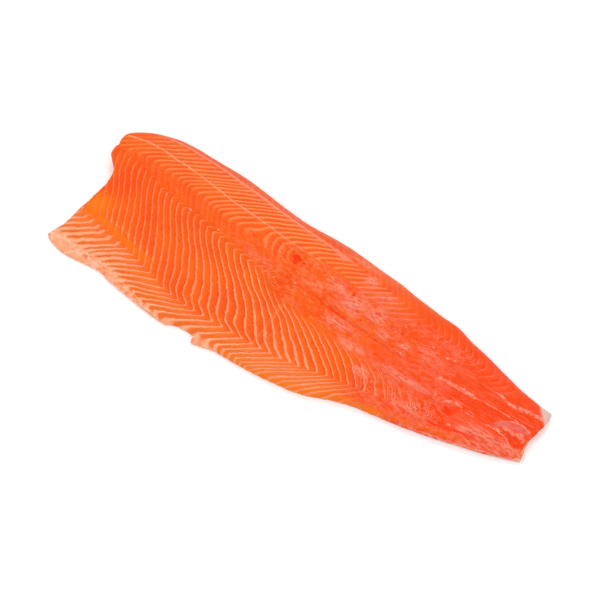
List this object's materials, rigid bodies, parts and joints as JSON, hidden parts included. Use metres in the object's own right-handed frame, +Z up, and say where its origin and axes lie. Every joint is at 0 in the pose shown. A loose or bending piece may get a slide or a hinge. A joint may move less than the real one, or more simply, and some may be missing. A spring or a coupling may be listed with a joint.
{
  "type": "raw salmon fillet",
  "caption": "Whole raw side of salmon lying skin side down, with a thick rounded loin along the back, a thin belly flap, an uneven head end and a narrow cut tail.",
  "frame": {"origin": "bottom centre of the bounding box, on the surface that the fillet lies on", "axes": "+X from the head end to the tail, +Y from the belly edge to the back edge, +Z up out of the flesh side"},
  "size_m": [0.5946, 0.214, 0.0306],
  "materials": {
    "flesh": "wet raw fish muscle, orange, with thin pale lines of fat",
    "skin": "wet silvery fish skin with fine scales, darker towards the back"
  },
  "bodies": {
    "root": {"fillet": "flesh"}
  },
  "joints": []
}
